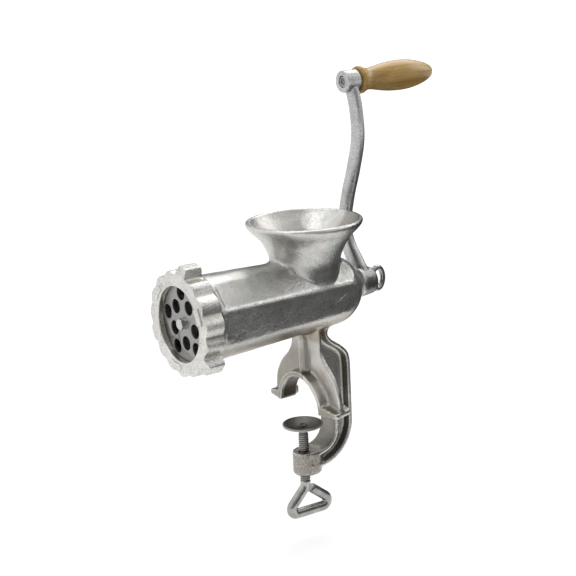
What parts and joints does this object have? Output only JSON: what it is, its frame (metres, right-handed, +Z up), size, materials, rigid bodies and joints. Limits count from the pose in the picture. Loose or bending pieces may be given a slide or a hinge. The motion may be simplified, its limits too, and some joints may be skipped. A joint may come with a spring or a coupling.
{
  "type": "manual meat grinder",
  "caption": "Hand-cranked cast-iron meat grinder with a flared hopper, lobed ring nut, curved crank with a wooden grip, and a table clamp with a bent-rod screw.",
  "frame": {"origin": "on the clamp screw's axis, at the level of the table top under the two feet", "axes": "+X along the barrel from the plate to the crank, +Z up, -Y towards the side that the picture shows"},
  "size_m": [0.2894, 0.1024, 0.3995],
  "materials": {
    "tinned_casting": "hot-tinned casting, satin, with a fine sand grain",
    "tinned_ring": "hot-tinned casting, grainy on its lobes",
    "tinned_worm": "hot-tinned casting",
    "tinned_crank": "hot-tinned casting, matt",
    "ground_steel": "surface ground",
    "bright_steel": "ground",
    "zinc_steel": "zinc plated",
    "zinc_rod": "zinc plated rod",
    "fibre": "vulcanised fibre",
    "varnished_wood": "turned and varnished"
  },
  "bodies": {
    "frame": {"body_casting": "tinned_casting", "plate_key_pin": "bright_steel", "thrust_washer": "fibre"},
    "worm": {"auger": "tinned_worm", "auger_stud": "bright_steel", "knife": "bright_steel"},
    "crank": {"crank_arm": "tinned_crank", "grip_spindle": "zinc_steel", "grip_washer": "zinc_steel"},
    "eye_screw": {"crank_thumbscrew": "zinc_steel"},
    "grip": {"wood_grip": "varnished_wood"},
    "plate": {"grinding_plate": "ground_steel"},
    "ring": {"ring_nut": "tinned_ring"},
    "pad": {"clamp_pad": "zinc_rod"},
    "screw": {"clamp_screw": "zinc_rod"}
  },
  "joints": [
    {"name": "crank_spin", "type": "hinge", "parent": "frame", "child": "worm", "pos_m": [0.06, 0, 0.101], "axis": [-1, 0, 0], "continuous": true},
    {"name": "crank_draw", "type": "slide", "parent": "worm", "child": "crank", "axis": [1, 0, 0], "range_m": [0, 0.01]},
    {"name": "eye_screw_turn", "type": "hinge", "parent": "crank", "child": "eye_screw", "pos_m": [0.085, 0, 0.101], "axis": [1, 0, 0], "range_deg": [0, 2940]},
    {"name": "grip_spin", "type": "hinge", "parent": "crank", "child": "grip", "pos_m": [0.1, 0.00628, 0.2804], "axis": [1, 0, 0], "continuous": true},
    {"name": "plate_draw", "type": "slide", "parent": "frame", "child": "plate", "axis": [-1, 0, 0], "range_m": [0, 0.0121]},
    {"name": "ring_turn", "type": "hinge", "parent": "plate", "child": "ring", "pos_m": [-0.112, 0, 0.101], "axis": [-1, 0, 0], "range_deg": [0, 1440]},
    {"name": "clamp_feed", "type": "slide", "parent": "frame", "child": "pad", "axis": [0, 0, 1], "range_m": [-0.0181, 0.0101]},
    {"name": "clamp_turn", "type": "hinge", "parent": "pad", "child": "screw", "pos_m": [0, 0, -0.05], "axis": [0, 0, 1], "range_deg": [-3240, 1800]}
  ],
  "couplings": [
    {"joint": "eye_screw_turn", "follows": "crank_draw", "rad_per_m": 5026.5},
    {"joint": "plate_draw", "follows": "ring_turn", "m_per_rad": 0.00047746},
    {"joint": "clamp_feed", "follows": "clamp_turn", "m_per_rad": 0.00031831}
  ]
}
